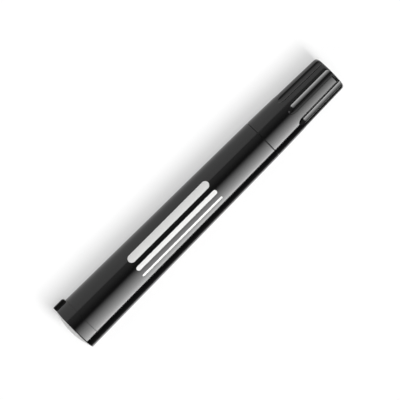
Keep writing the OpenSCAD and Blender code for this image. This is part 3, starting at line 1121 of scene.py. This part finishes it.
class MARKER_OT_build_stage(bpy.types.Operator):
    """Sets up the camera, the lamps, the studio walls and the pale floor"""

    bl_idname = "marker.build_stage"
    bl_label = "Stage"

    def execute(self, context):
        stage = context.scene.marker_stage
        self.place_camera(context.scene, stage)
        self.place_lamps(stage)
        self.paint_walls(context.scene)
        self.lay_floor(stage)
        context.scene.view_settings.view_transform = "Standard"
        return {"FINISHED"}

    def place_camera(self, scene, stage):
        """Camera that looks square at the marker's side, with the marker on the diagonal."""
        right = (AXIS - NUB).normalized()
        up = (AXIS + NUB).normalized()
        middle = Vector(((X_APEX + X_CROWN) / 2, 0.0, AXIS_Z))
        target = middle + AXIS * stage.aim_along + NUB * stage.aim_across
        camera = bpy.data.cameras.new("camera")
        camera.lens = camera.sensor_width * stage.distance / stage.view_width
        holder = add_object("camera", camera)
        turn = Matrix((right, up, FRONT)).transposed().to_4x4()
        holder.matrix_world = Matrix.Translation(target + FRONT * stage.distance) @ turn
        scene.camera = holder

    def place_lamps(self, stage):
        """Overhead lamp that brightens towards the back, lamps past the ends and a front fill."""
        heart = Vector((0.0, 0.0, AXIS_Z))
        between = (stage.lamp_front - stage.lamp_back) / 2
        above = heart + Vector((stage.lamp_shift, between, stage.lamp_height))
        size = (stage.lamp_length, stage.lamp_front + stage.lamp_back)
        self.brighten(self.lamp("overhead_lamp", above, size, stage.lamp_glow), stage)
        size = (stage.end_size, stage.end_size)
        for side, label in ((-1, "tail"), (1, "crown")):
            place = Vector((stage.end_along * side, stage.end_front, CAD_BOX[0].z + stage.end_height))
            end = self.lamp(f"end_lamp_{label}", place, size, stage.end_glow)
            self.turn_to(end, heart + AXIS * stage.end_aim * side)
        size = (stage.fill_size, stage.fill_size)
        fill = self.lamp("fill_lamp", heart + FRONT * stage.fill_distance, size, stage.fill_glow)
        fill.visible_glossy = False
        self.turn_to(fill, heart)

    def lamp(self, name, place, size, glow):
        """Rectangular area lamp that faces down until it is turned, with a power per square metre."""
        light = bpy.data.lights.new(name, "AREA")
        light.shape = "RECTANGLE"
        light.size, light.size_y = size
        light.energy = glow * size[0] * size[1]
        holder = add_object(name, light)
        holder.location = place
        holder.visible_camera = False
        return holder

    def brighten(self, lamp, stage):
        """Lets the overhead lamp's light rise from nothing at its front to its most at its back."""
        lamp.data.use_nodes = True
        tree = lamp.data.node_tree
        place = add_node(tree, "ShaderNodeNewGeometry").outputs["Position"]
        depth = split(tree, place)["Y"]
        span = {"Value": depth, "From Min": stage.lamp_front, "From Max": -stage.lamp_back}
        rise = add_node(tree, "ShaderNodeMapRange", span).outputs["Result"]
        feed(tree.nodes["Emission"], Strength=math_node(tree, "POWER", rise, stage.lamp_rise))

    def turn_to(self, lamp, target):
        """Turns a lamp to face a point."""
        lamp.rotation_euler = (target - lamp.location).to_track_quat("-Z", "Y").to_euler()

    def paint_walls(self, scene):
        """Studio walls in greys: pale in front, dark behind the marker."""
        # Greys by direction across the marker, from -1 straight behind it to 1 straight in front
        greys = ((-1.0, 0.14), (-0.96, 0.05), (-0.74, 0.01), (-0.6, 0.2), (0.0, 0.28), (0.6, 0.22),
                 (0.76, 0.08), (0.9, 0.22), (1.0, 0.42))
        world = bpy.data.worlds.new("studio_walls")
        scene.world = world
        world.use_nodes = True
        tree = world.node_tree
        direction = add_node(tree, "ShaderNodeTexCoord").outputs["Generated"]
        place = math_node(tree, "MULTIPLY_ADD", split(tree, direction)["Y"], 0.5, 0.5)
        walls = add_node(tree, "ShaderNodeValToRGB", {"Fac": place})
        stops = walls.color_ramp.elements
        while len(stops) < len(greys):
            stops.new(0.5)
        for stop, (side, grey) in zip(stops, greys):
            stop.position = 0.5 + 0.5 * side
            stop.color = (grey, grey, grey, 1.0)
        feed(tree.nodes["Background"], Color=walls.outputs["Color"])

    def lay_floor(self, stage):
        """Pale floor under the marker; it glows a little where it is seen and keeps the shadow. Its
        colour and glow are painted brighter in a middle pool and darker towards the far floor.
        """
        half = stage.floor_half
        corners = [(-half, -half), (half, -half), (half, half), (-half, half)]
        mesh = bpy.data.meshes.new("floor")
        mesh.from_pydata([(x, y, CAD_BOX[0].z) for x, y in corners], [], [range(len(corners))])
        material, tree, shader, place = new_material(
            "floor_pale", Roughness=0.9, Specular_IOR_Level=0.0, Emission_Color=(1.0, 1.0, 1.0, 1.0))
        away = vector_node(tree, "LENGTH", place)["Value"]
        # Painted pool of light: colour and glow stay full in the middle and are painted darker further
        # out; the mottle below is the floor's own uneven tone
        faded = ramp(tree, away, stage.painted_pool_radius, stage.painted_pool_fade, 1.0, stage.painted_far_shade)
        mottled = ramp(tree, noise(tree, place, 30.0), 0.3, 0.7, 0.99, 1.01)
        shade = math_node(tree, "MULTIPLY", mottled, faded)
        rays = add_node(tree, "ShaderNodeLightPath").outputs
        seen = math_node(tree, "MAXIMUM", rays["Is Camera Ray"], rays["Is Glossy Ray"])
        seen = math_node(tree, "MAXIMUM", seen, rays["Is Transmission Ray"])
        glow = math_node(tree, "MULTIPLY", seen, math_node(tree, "MULTIPLY", faded, stage.floor_glow))
        feed(shader, Base_Color=tinted(tree, stage.floor_colour, shade), Emission_Strength=glow)
        mesh.materials.append(material)
        add_object("floor", mesh)


class MARKER_PT_sidebar(bpy.types.Panel):
    """Lists the marker's pieces and properties"""

    bl_idname = "MARKER_PT_sidebar"
    bl_label = "Permanent Marker"
    bl_space_type = "VIEW_3D"
    bl_region_type = "UI"
    bl_category = "Marker"

    def draw(self, context):
        for operator in OPERATORS:
            self.layout.operator(operator.bl_idname)
        for name, group in PROPERTIES.items():
            box = self.layout.box()
            box.label(text=group.__doc__)
            values = getattr(context.scene, name)
            for key in group.__annotations__:
                box.prop(values, key)


OPERATORS = (
    MARKER_OT_build_barrel,
    MARKER_OT_build_tail,
    MARKER_OT_build_reservoir,
    MARKER_OT_build_front,
    MARKER_OT_build_inner_cap,
    MARKER_OT_build_cap,
    MARKER_OT_build_stage,
)
PROPERTIES = {
    "marker_body": MarkerBodySizes,
    "marker_front": MarkerFrontSizes,
    "marker_cap": MarkerCapSizes,
    "marker_print": MarkerPrint,
    "marker_finish": MarkerFinish,
    "marker_stage": MarkerStage,
}
CLASSES = (*PROPERTIES.values(), *OPERATORS, MARKER_PT_sidebar)


def register():
    """Registers the classes and hangs the properties on the scene."""
    for group in CLASSES:
        bpy.utils.register_class(group)
    for name, group in PROPERTIES.items():
        setattr(bpy.types.Scene, name, PointerProperty(type=group))


def unregister():
    """Takes the properties off the scene and unregisters the classes."""
    for name in PROPERTIES:
        delattr(bpy.types.Scene, name)
    for group in reversed(CLASSES):
        bpy.utils.unregister_class(group)


def main():
    """Builds every piece and the stage."""
    register()
    bpy.ops.marker.build_barrel()
    bpy.ops.marker.build_tail()
    bpy.ops.marker.build_reservoir()
    bpy.ops.marker.build_front()
    bpy.ops.marker.build_inner_cap()
    bpy.ops.marker.build_cap()
    bpy.ops.marker.build_stage()


if __name__ == "__main__":
    main()
